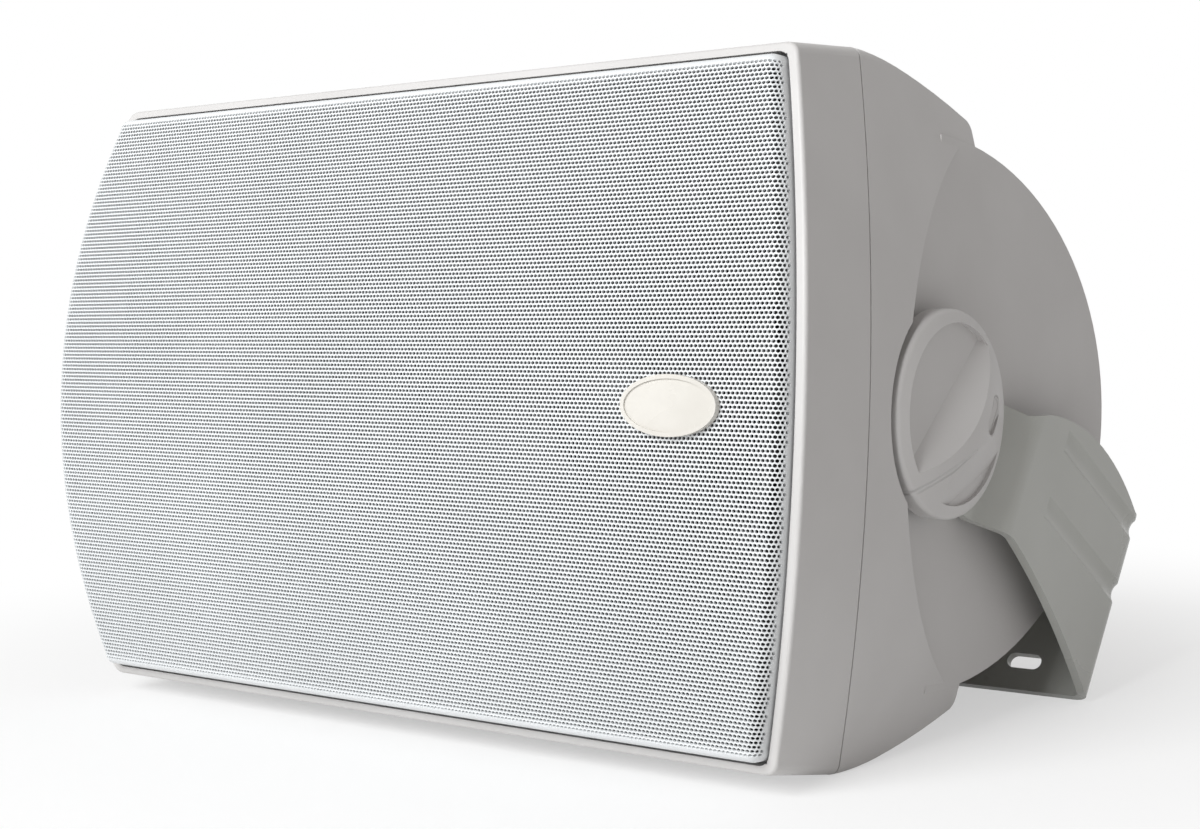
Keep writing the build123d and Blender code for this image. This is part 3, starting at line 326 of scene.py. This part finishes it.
# %% Give every node its finish
wearing = {
    "cabinet_plastic": ["front_baffle", "rear_cabinet", "knob_left", "knob_right"],
    "grille_paint": ["grille"],
    "badge_cream": ["badge"],
    "bracket_paint": ["bracket"],
    "gasket_grey": ["cabinet_gasket"],
    "black_rubber": ["woofer_gasket", "woofer_surround", "terminal_gasket", "friction_washer_left",
                     "friction_washer_right"],
    "black_zinc": ["cabinet_screws", "woofer_screws", "horn_screws"],
    "steel": ["terminal_screws", "woofer_top_plate", "woofer_back_plate", "tweeter_plate",
              "tweeter_back_plate", "knob_stud_left", "knob_stud_right"],
    "black_plastic": ["horn", "port_tube_upper", "port_tube_lower", "terminal_cup", "post_cap_black",
                      "woofer_basket", "resistor"],
    "cone_graphite": ["woofer_cone", "woofer_dust_cap"],
    "spider_cloth": ["woofer_spider"],
    "copper_winding": ["woofer_voice_coil", "choke_left", "choke_right"],
    "ferrite": ["woofer_magnet", "tweeter_magnet"],
    "titanium_foil": ["tweeter_diaphragm"],
    "board_green": ["crossover_board"],
    "red_plastic": ["post_cap_red"],
    "brass_metal": ["post_stud_red", "post_stud_black", "pivot_insert_left", "pivot_insert_right"],
    "capacitor_sleeve": ["capacitor_upper", "capacitor_lower"],
}
slot_of = {name: slot for slot, names in wearing.items() for name in names}
for name, node in nodes.items():
    node.data.materials.clear()
    node.data.materials.append(finishes[slot_of[name]])
print("painted nodes:", len(slot_of))

# %% [markdown]
# Each knob has two fine marks on its face: a long round pointer with a raised rim, and a straight
# groove below the grip. They are shallow, so they are a bump. The place on the face is measured from
# the hinge in the cabinet's axes, and the far knob is the near one's mirror.

# %% Marks on the knobs
mm = 0.001
pointer_place = (18.0 * mm, 0.0)
pointer_turn = math.radians(62)
pointer_half_length = 6.2 * mm
pointer_half_width = 2.6 * mm
groove_start = (5.4 * mm, -11.4 * mm)
groove_end = (-24.8 * mm, -25.4 * mm)
groove_half_width = 0.6 * mm
rim_top = 0.2 * mm
rim_foot = 0.9 * mm
mark_depth = 0.5 * mm


def cabinet_place(tree):
    """Object coordinates carried over to the cabinet's axes."""
    to_cabinet = cabinet_axes.inverted()
    spot = put(tree, "ShaderNodeTexCoord")
    turned = put(tree, "ShaderNodeMapping",
                 {"Vector": spot.outputs["Object"], "Location": to_cabinet.translation,
                  "Rotation": to_cabinet.to_euler()})
    return put(tree, "ShaderNodeSeparateXYZ", {0: turned.outputs[0]}).outputs


def stroke_distance(tree, along, up, start, end):
    """Distance on the knob's face from a straight stroke between two points."""
    run = (end[0] - start[0], end[1] - start[1])
    length = math.hypot(*run)
    unit = (run[0] / length, run[1] / length)
    over = calc(tree, "SUBTRACT", along, start[0])
    above = calc(tree, "SUBTRACT", up, start[1])
    ahead = calc(tree, "MULTIPLY_ADD", over, unit[0], calc(tree, "MULTIPLY", above, unit[1]))
    held = calc(tree, "MINIMUM", calc(tree, "MAXIMUM", ahead, 0.0), length)
    short = calc(tree, "SUBTRACT", ahead, held)
    aside = calc(tree, "MULTIPLY_ADD", over, -unit[1], calc(tree, "MULTIPLY", above, unit[0]))
    squares = calc(tree, "ADD", calc(tree, "POWER", short, 2.0), calc(tree, "POWER", aside, 2.0))
    return calc(tree, "SQRT", squares)


def dip(tree, distance, inner, outer):
    """1 near a stroke and 0 away from it, with a soft shoulder between."""
    shoulder = put(tree, "ShaderNodeMapRange",
                   {"Value": distance, "From Min": inner, "From Max": outer, "To Min": 1.0, "To Max": 0.0},
                   interpolation_type="SMOOTHSTEP")
    return shoulder.outputs[0]


marked = finish("knob_plastic", *cabinet_shades, (0.42, 0.52), fine=1600.0, relief=0.25, depth=0.0001)
tree = marked.node_tree
axes = cabinet_place(tree)
along = calc(tree, "SUBTRACT", axes["Y"], pivot_depth)
half_run = pointer_half_length - pointer_half_width
lean_run = (half_run * math.cos(pointer_turn), half_run * math.sin(pointer_turn))
pointer = stroke_distance(tree, along, axes["Z"],
                          (pointer_place[0] - lean_run[0], pointer_place[1] - lean_run[1]),
                          (pointer_place[0] + lean_run[0], pointer_place[1] + lean_run[1]))
rim = calc(tree, "ABSOLUTE", calc(tree, "SUBTRACT", pointer, pointer_half_width))
groove = stroke_distance(tree, along, axes["Z"], groove_start, groove_end)
marks = calc(tree, "SUBTRACT", dip(tree, rim, rim_top, rim_foot),
             dip(tree, groove, 0.2 * groove_half_width, 2.0 * groove_half_width))
skin_bump = next(node for node in tree.nodes if node.type == "BUMP")
mark_bump = put(tree, "ShaderNodeBump",
                {"Height": marks, "Normal": skin_bump.outputs[0], "Strength": 1.0, "Distance": mark_depth})
surface = next(node for node in tree.nodes if node.type == "BSDF_PRINCIPLED")
tree.links.new(mark_bump.outputs[0], surface.inputs["Normal"])
for name in ("knob_left", "knob_right"):
    nodes[name].data.materials[0] = marked
print("knobs have their pointer and groove")

# %% [markdown]
# Behind the holes there is only shade, so the board that carries the drivers is painted near black
# where the grille covers it, as painted shade, and stays pale outside. It is one moulding, so one
# finish holds both shades. A Mapping node carries the coordinates over to the cabinet's axes, and the
# painted shade starts where the place lies inside the grille's own outline.

# %% Sizes of the grille
grille_crown = 163.7 * mm
grille_half_height = 101.6 * mm
grille_end_radius = 342.66 * mm
grille_front_radius = 370.27 * mm
grille_front_depth = 22.0 * mm
grille_roll = 3.8 * mm
pocket_gap = 0.7 * mm


def painted_shade_mask(tree):
    """1 inside the opening that the grille covers, where shade is painted on the board, 0 outside it."""
    axes = cabinet_place(tree)
    across = calc(tree, "ABSOLUTE", axes["X"])
    tall = calc(tree, "ABSOLUTE", axes["Z"])
    bow = calc(tree, "SQRT", calc(tree, "SUBTRACT", grille_end_radius**2, calc(tree, "POWER", tall, 2.0)))
    past_end = calc(tree, "SUBTRACT", across, calc(tree, "ADD", bow, grille_crown - grille_end_radius))
    past_edge = calc(tree, "SUBTRACT", tall, grille_half_height)
    return calc(tree, "LESS_THAN", calc(tree, "MAXIMUM", past_end, past_edge), pocket_gap / 2)


board = finish("baffle_with_painted_shade", *cabinet_shades, (0.42, 0.52), fine=1600.0, relief=0.25, depth=0.0001)
tree = board.node_tree
surface = next(node for node in tree.nodes if node.type == "BSDF_PRINCIPLED")
pale = surface.inputs["Base Color"].links[0].from_socket
# Painted shade: near black on the board inside the grille's opening stands for the shade behind the holes.
shade = put(tree, "ShaderNodeMix", {"Factor": painted_shade_mask(tree)}, data_type="RGBA")
tree.links.new(pale, shade.inputs[6])
shade.inputs[7].default_value = (0.006, 0.006, 0.007, 1)
tree.links.new(shade.outputs[2], surface.inputs["Base Color"])
nodes["front_baffle"].data.materials[0] = board
print("board is black inside the grille's opening")


# %% [markdown]
# The grille is a bowed steel sheet with small holes in staggered rows, and its edges roll back to the
# board. Geometry Nodes make it flat first: a cell is a hexagon with a hole and the hole's wall, and
# the cells stand in staggered rows so that they close up to one sheet. Then every point is bent: over
# the bow in the middle, and round the roll near the edges. How far a point lies beyond the start of
# the roll is needed twice, once to leave the holes out near the edge and once to bend, so it is a
# node group of its own.

# %% How far a point lies beyond the start of the roll
def edge_reach_group():
    """How far a flat point lies past the roll's start, at the ends and at the long edges, and the start."""
    group = bpy.data.node_groups.new("edge_reach", "GeometryNodeTree")
    for name in ("Crown", "Half Height", "End Radius", "Roll"):
        group.interface.new_socket(name, in_out="INPUT", socket_type="NodeSocketFloat")
    for name in ("Past End", "Past Edge", "Start X", "Start Z"):
        group.interface.new_socket(name, in_out="OUTPUT", socket_type="NodeSocketFloat")
    size = put(group, "NodeGroupInput").outputs
    spot = put(group, "GeometryNodeInputPosition").outputs[0]
    flat = put(group, "ShaderNodeSeparateXYZ", {0: spot}).outputs
    across = calc(group, "ABSOLUTE", flat["X"])
    tall = calc(group, "ABSOLUTE", flat["Y"])
    edge_start = calc(group, "SUBTRACT", size["Half Height"], size["Roll"])
    held_tall = calc(group, "MINIMUM", tall, edge_start)
    bow = calc(group, "SUBTRACT", size["End Radius"], size["Roll"])
    bow_reach = calc(group, "SQRT", calc(group, "SUBTRACT", calc(group, "POWER", bow, 2.0),
                                         calc(group, "POWER", held_tall, 2.0)))
    end_start = calc(group, "ADD", calc(group, "SUBTRACT", size["Crown"], size["End Radius"]), bow_reach)
    held_across = calc(group, "MINIMUM", across, end_start)
    put(group, "NodeGroupOutput",
        {"Past End": calc(group, "SUBTRACT", across, held_across),
         "Past Edge": calc(group, "SUBTRACT", tall, held_tall),
         "Start X": calc(group, "MULTIPLY", held_across, calc(group, "SIGN", flat["X"])),
         "Start Z": calc(group, "MULTIPLY", held_tall, calc(group, "SIGN", flat["Y"]))})
    return group


edge_reach = edge_reach_group()
print("group:", edge_reach.name)


# %% [markdown]
# The main tree has the sizes as named inputs, so that the same tree makes the sheet in five upright
# strips, each small enough for a model file. The hole's wall matters: seen from the side it closes
# part of the hole, so the far end of the grille looks paler than the near end.

# %% Perforated sheet tree
def perforated_sheet_tree():
    """Geometry tree of one strip of the grille: flat cells in rows, then bent to the grille's form."""
    tree = bpy.data.node_groups.new("perforated_sheet", "GeometryNodeTree")
    for name in ("Columns", "Rows"):
        tree.interface.new_socket(name, in_out="INPUT", socket_type="NodeSocketInt")
    for name in ("Strip Centre", "Pitch", "Hole", "Hole Flatness", "Sheet", "Crown", "Half Height",
                 "End Radius", "Front Radius", "Front Depth", "Roll", "Skirt", "End Holes", "Edge Holes"):
        tree.interface.new_socket(name, in_out="INPUT", socket_type="NodeSocketFloat")
    tree.interface.new_socket("Geometry", in_out="OUTPUT", socket_type="NodeSocketGeometry")
    size = put(tree, "NodeGroupInput").outputs

    # One cell: a hexagon, its hole, and the wall of the hole
    cell_radius = calc(tree, "DIVIDE", size["Pitch"], math.sqrt(3))
    circle = put(tree, "GeometryNodeMeshCircle", {"Vertices": 6, "Radius": cell_radius}, fill_type="NGON")
    blank = put(tree, "GeometryNodeTransform",
                {"Geometry": circle.outputs[0], "Rotation": (0, 0, math.radians(30))})
    inner = put(tree, "GeometryNodeExtrudeMesh", {"Mesh": blank.outputs[0], "Offset Scale": 0.0},
                mode="FACES")
    ring = put(tree, "GeometryNodeScaleElements",
               {"Geometry": inner.outputs["Mesh"], "Selection": inner.outputs["Top"],
                "Scale": calc(tree, "DIVIDE", size["Hole"], cell_radius)}, domain="FACE")
    low = put(tree, "GeometryNodeScaleElements",
              {"Geometry": ring.outputs[0], "Selection": inner.outputs["Top"], "Scale": size["Hole Flatness"],
               "Axis": (0, 1, 0)}, domain="FACE", scale_mode="SINGLE_AXIS")
    down = put(tree, "ShaderNodeCombineXYZ", {"Z": -1.0})
    walled = put(tree, "GeometryNodeExtrudeMesh",
                 {"Mesh": low.outputs[0], "Selection": inner.outputs["Top"], "Offset": down.outputs[0],
                  "Offset Scale": size["Sheet"]}, mode="FACES")
    cell = put(tree, "GeometryNodeDeleteGeometry",
               {"Geometry": walled.outputs["Mesh"], "Selection": walled.outputs["Top"]}, domain="FACE")

    # Staggered rows of places for the cells
    row_spacing = calc(tree, "MULTIPLY", size["Pitch"], math.sqrt(3) / 2)
    grid = put(tree, "GeometryNodeMeshGrid",
               {"Size X": calc(tree, "MULTIPLY", calc(tree, "SUBTRACT", size["Columns"], 1.0), size["Pitch"]),
                "Size Y": calc(tree, "MULTIPLY", calc(tree, "SUBTRACT", size["Rows"], 1.0), row_spacing),
                "Vertices X": size["Columns"], "Vertices Y": size["Rows"]})
    row = calc(tree, "MODULO", put(tree, "GeometryNodeInputIndex").outputs[0], size["Rows"])
    step = calc(tree, "MULTIPLY", calc(tree, "SUBTRACT", calc(tree, "MODULO", row, 2.0), 0.5),
                calc(tree, "MULTIPLY", size["Pitch"], 0.5))
    aside = put(tree, "ShaderNodeCombineXYZ", {"X": calc(tree, "ADD", step, size["Strip Centre"])})
    places = put(tree, "GeometryNodeSetPosition",
                 {"Geometry": grid.outputs["Mesh"], "Offset": aside.outputs[0]})

    def reach():
        sizes = {name: size[name] for name in ("Crown", "Half Height", "End Radius", "Roll")}
        node = put(tree, "GeometryNodeGroup", {}, node_tree=edge_reach)
        for name, socket in sizes.items():
            tree.links.new(socket, node.inputs[name])
        past = put(tree, "ShaderNodeCombineXYZ",
                   {"X": node.outputs["Past End"], "Y": node.outputs["Past Edge"]})
        far = put(tree, "ShaderNodeVectorMath", {0: past.outputs[0]}, operation="LENGTH").outputs["Value"]
        return node.outputs, far

    past, far = reach()
    quarter = calc(tree, "MULTIPLY", size["Roll"], math.pi / 2)
    outside = calc(tree, "GREATER_THAN", far, calc(tree, "ADD", quarter, size["Skirt"]))
    kept = put(tree, "GeometryNodeDeleteGeometry", {"Geometry": places.outputs[0], "Selection": outside},
               domain="POINT")
    open_here = calc(tree, "MULTIPLY", calc(tree, "LESS_THAN", past["Past End"], size["End Holes"]),
                     calc(tree, "LESS_THAN", past["Past Edge"], size["Edge Holes"]))
    plain_here = calc(tree, "SUBTRACT", 1.0, open_here)
    open_cells = put(tree, "GeometryNodeInstanceOnPoints",
                     {"Points": kept.outputs[0], "Selection": open_here, "Instance": cell.outputs[0]})
    plain_cells = put(tree, "GeometryNodeInstanceOnPoints",
                      {"Points": kept.outputs[0], "Selection": plain_here, "Instance": blank.outputs[0]})
    both = put(tree, "GeometryNodeJoinGeometry")
    tree.links.new(open_cells.outputs[0], both.inputs[0])
    tree.links.new(plain_cells.outputs[0], both.inputs[0])
    flat = put(tree, "GeometryNodeRealizeInstances", {"Geometry": both.outputs[0]})
    spot = put(tree, "GeometryNodeInputPosition").outputs[0]
    layout = put(tree, "ShaderNodeVectorMath", {0: spot, 1: (2.8, 2.8, 0.0), 2: (0.5, 0.5, 0.0)},
                 operation="MULTIPLY_ADD")
    mapped = put(tree, "GeometryNodeStoreNamedAttribute",
                 {"Geometry": flat.outputs[0], "Name": "OFBake", "Value": layout.outputs[0]},
                 data_type="FLOAT2", domain="CORNER")
    sheet = put(tree, "GeometryNodeMergeByDistance", {"Geometry": mapped.outputs[0], "Distance": 1e-5})

    # Bend the flat sheet over the bow and round the roll
    past, far = reach()
    safe = calc(tree, "MAXIMUM", far, 1e-9)
    flat_axes = put(tree, "ShaderNodeSeparateXYZ", {0: spot}).outputs
    aim_x = calc(tree, "MULTIPLY", calc(tree, "DIVIDE", past["Past End"], safe),
                 calc(tree, "SIGN", flat_axes["X"]))
    aim_z = calc(tree, "MULTIPLY", calc(tree, "DIVIDE", past["Past Edge"], safe),
                 calc(tree, "SIGN", flat_axes["Y"]))
    angle = calc(tree, "MINIMUM", calc(tree, "DIVIDE", far, size["Roll"]), math.pi / 2)
    beyond = calc(tree, "MAXIMUM", calc(tree, "SUBTRACT", far, quarter), 0.0)
    turned_out = calc(tree, "SINE", angle)
    facing = calc(tree, "COSINE", angle)
    tilt = calc(tree, "DIVIDE", past["Start Z"], size["Front Radius"])
    level = calc(tree, "SQRT", calc(tree, "SUBTRACT", 1.0, calc(tree, "POWER", tilt, 2.0)))
    bow_depth = calc(tree, "MULTIPLY", size["Front Radius"], calc(tree, "SUBTRACT", 1.0, level))
    roll_depth = calc(tree, "MULTIPLY", size["Roll"], calc(tree, "SUBTRACT", 1.0, facing))
    swing = calc(tree, "MULTIPLY", size["Roll"], turned_out)
    depth = calc(tree, "ADD", calc(tree, "ADD", bow_depth, roll_depth), calc(tree, "SUBTRACT", beyond,
                                                                             size["Front Depth"]))
    face = put(tree, "ShaderNodeCombineXYZ",
               {"X": calc(tree, "MULTIPLY_ADD", aim_x, swing, past["Start X"]), "Y": depth,
                "Z": calc(tree, "MULTIPLY_ADD", aim_z, swing, past["Start Z"])})
    outward = put(tree, "ShaderNodeCombineXYZ",
                  {"X": calc(tree, "MULTIPLY", aim_x, turned_out),
                   "Y": calc(tree, "MULTIPLY", calc(tree, "MULTIPLY", level, facing), -1.0),
                   "Z": calc(tree, "MULTIPLY_ADD", tilt, facing, calc(tree, "MULTIPLY", aim_z, turned_out))})
    lifted = put(tree, "ShaderNodeVectorMath",
                 {0: outward.outputs[0], 1: put(tree, "ShaderNodeCombineXYZ", {
                     "X": flat_axes["Z"], "Y": flat_axes["Z"], "Z": flat_axes["Z"]}).outputs[0],
                  2: face.outputs[0]}, operation="MULTIPLY_ADD")
    bent = put(tree, "GeometryNodeSetPosition", {"Geometry": sheet.outputs[0], "Position": lifted.outputs[0]})
    smooth = put(tree, "GeometryNodeSetShadeSmooth", {"Geometry": bent.outputs[0], "Shade Smooth": True},
                 domain="FACE")
    corner = put(tree, "GeometryNodeInputMeshEdgeAngle")
    sharp = calc(tree, "GREATER_THAN", corner.outputs["Unsigned Angle"], math.radians(45))
    creased = put(tree, "GeometryNodeSetShadeSmooth",
                  {"Geometry": smooth.outputs[0], "Selection": sharp, "Shade Smooth": False}, domain="EDGE")
    painted = put(tree, "GeometryNodeSetMaterial",
                  {"Geometry": creased.outputs[0], "Material": finishes["grille_paint"]})
    put(tree, "NodeGroupOutput", {"Geometry": painted.outputs[0]})
    return tree


perforated_sheet = perforated_sheet_tree()
print("tree:", perforated_sheet.name, len(perforated_sheet.nodes), "nodes")


# %% [markdown]
# Each strip is an empty mesh with the tree as its modifier. Its inputs are set by the sockets' own
# identifiers before anything is evaluated, the result becomes a plain mesh, and the mesh is carried
# from the cabinet's axes to the room, so that the object itself stays at the origin.

# %% Grille strips
hole_pitch = 1.527 * mm
strip_columns = 45
strip_count = 5
sheet_sizes = {
    "Columns": strip_columns,
    "Rows": 165,
    "Pitch": hole_pitch,
    "Hole": 0.745 * mm,
    "Hole Flatness": 0.76,
    "Sheet": 0.75 * mm,
    "Crown": grille_crown,
    "Half Height": grille_half_height,
    "End Radius": grille_end_radius,
    "Front Radius": grille_front_radius,
    "Front Depth": grille_front_depth,
    "Roll": grille_roll,
    "Skirt": 4.0 * mm,
    "End Holes": 5.6 * mm,
    "Edge Holes": 1.9 * mm,
}
sockets = [item for item in perforated_sheet.interface.items_tree if item.in_out == "INPUT"]
socket_of = {item.name: item.identifier for item in sockets}
for number in range(strip_count):
    maker = bpy.data.objects.new("sheet_maker", bpy.data.meshes.new("sheet_maker"))
    bpy.context.scene.collection.objects.link(maker)
    modifier = maker.modifiers.new("perforated_sheet", "NODES")
    modifier.node_group = perforated_sheet
    for name, value in sheet_sizes.items():
        modifier[socket_of[name]] = value
    modifier[socket_of["Strip Centre"]] = (number - (strip_count - 1) / 2) * strip_columns * hole_pitch
    made = bpy.data.meshes.new_from_object(maker.evaluated_get(bpy.context.evaluated_depsgraph_get()))
    bpy.data.objects.remove(maker)
    made.transform(cabinet_axes)
    strip = bpy.data.objects.new(f"grille_sheet_{number + 1}", made)
    bpy.context.scene.collection.objects.link(strip)
    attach(strip, "cabinet")
    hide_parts("grille")
    triangles = sum(len(face.vertices) - 2 for face in made.polygons)
    print(strip.name, "triangles:", triangles, "faces the front:",
          sum(face.normal.y < 0 for face in made.polygons), "of", len(made.polygons))
